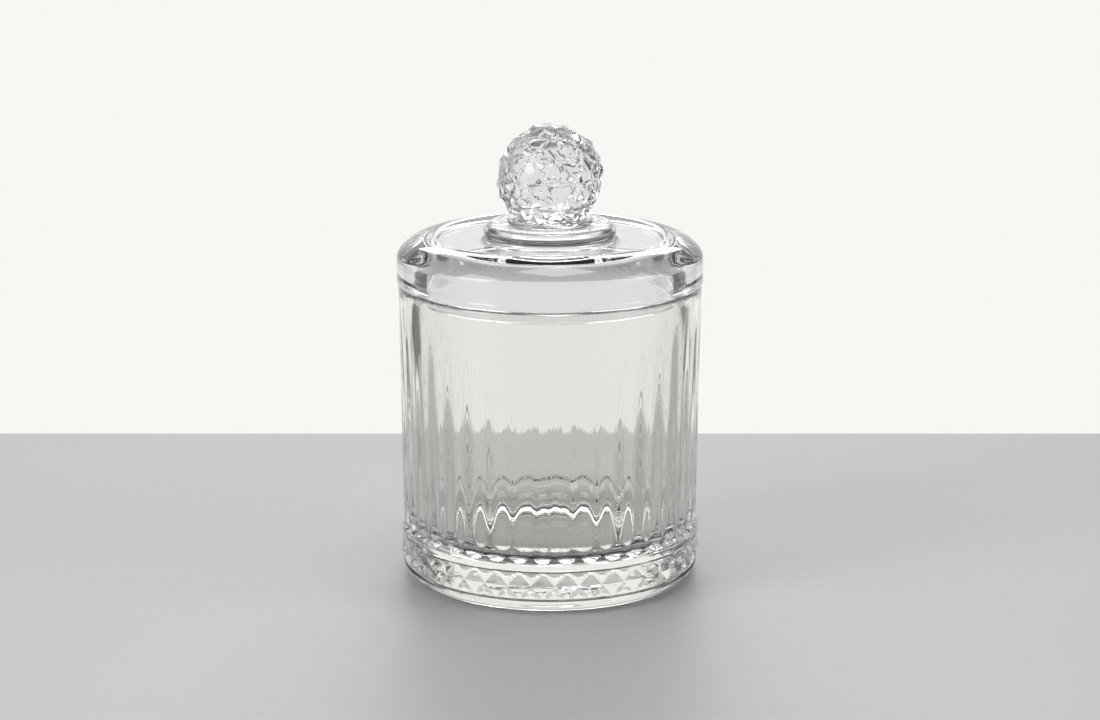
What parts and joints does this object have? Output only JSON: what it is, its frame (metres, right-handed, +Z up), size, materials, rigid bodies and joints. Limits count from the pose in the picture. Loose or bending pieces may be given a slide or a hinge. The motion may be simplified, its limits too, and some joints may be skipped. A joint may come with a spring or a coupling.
{
  "type": "powder jar",
  "caption": "Clear pressed-glass powder jar with a fluted wall, a diamond-cut base band and a hollow lift-off lid with a star-cut ball knob.",
  "frame": {"origin": "centre of the foot ring's resting plane, on the jar's axis", "axes": "+Z up along the jar's axis towards the knob; -Y is the front"},
  "size_m": [0.094, 0.094, 0.1409],
  "materials": {
    "jar_glass": "fire-polished pressed glass, colourless, faint mould waviness",
    "lid_glass": "fire-polished pressed glass, colourless, faint lavender-grey cast in its thick edge",
    "knob_glass": "bright cut facets, colourless",
    "clear_bond": "thin clear cured adhesive"
  },
  "bodies": {
    "jar": {"jar_body": "jar_glass"},
    "lid": {"lid": "lid_glass", "knob_bond": "clear_bond", "knob": "knob_glass"}
  },
  "joints": [
    {"name": "lid_lift", "type": "slide", "parent": "jar", "child": "lid", "axis": [0, 0, 1], "range_m": [0, 0.06]}
  ]
}
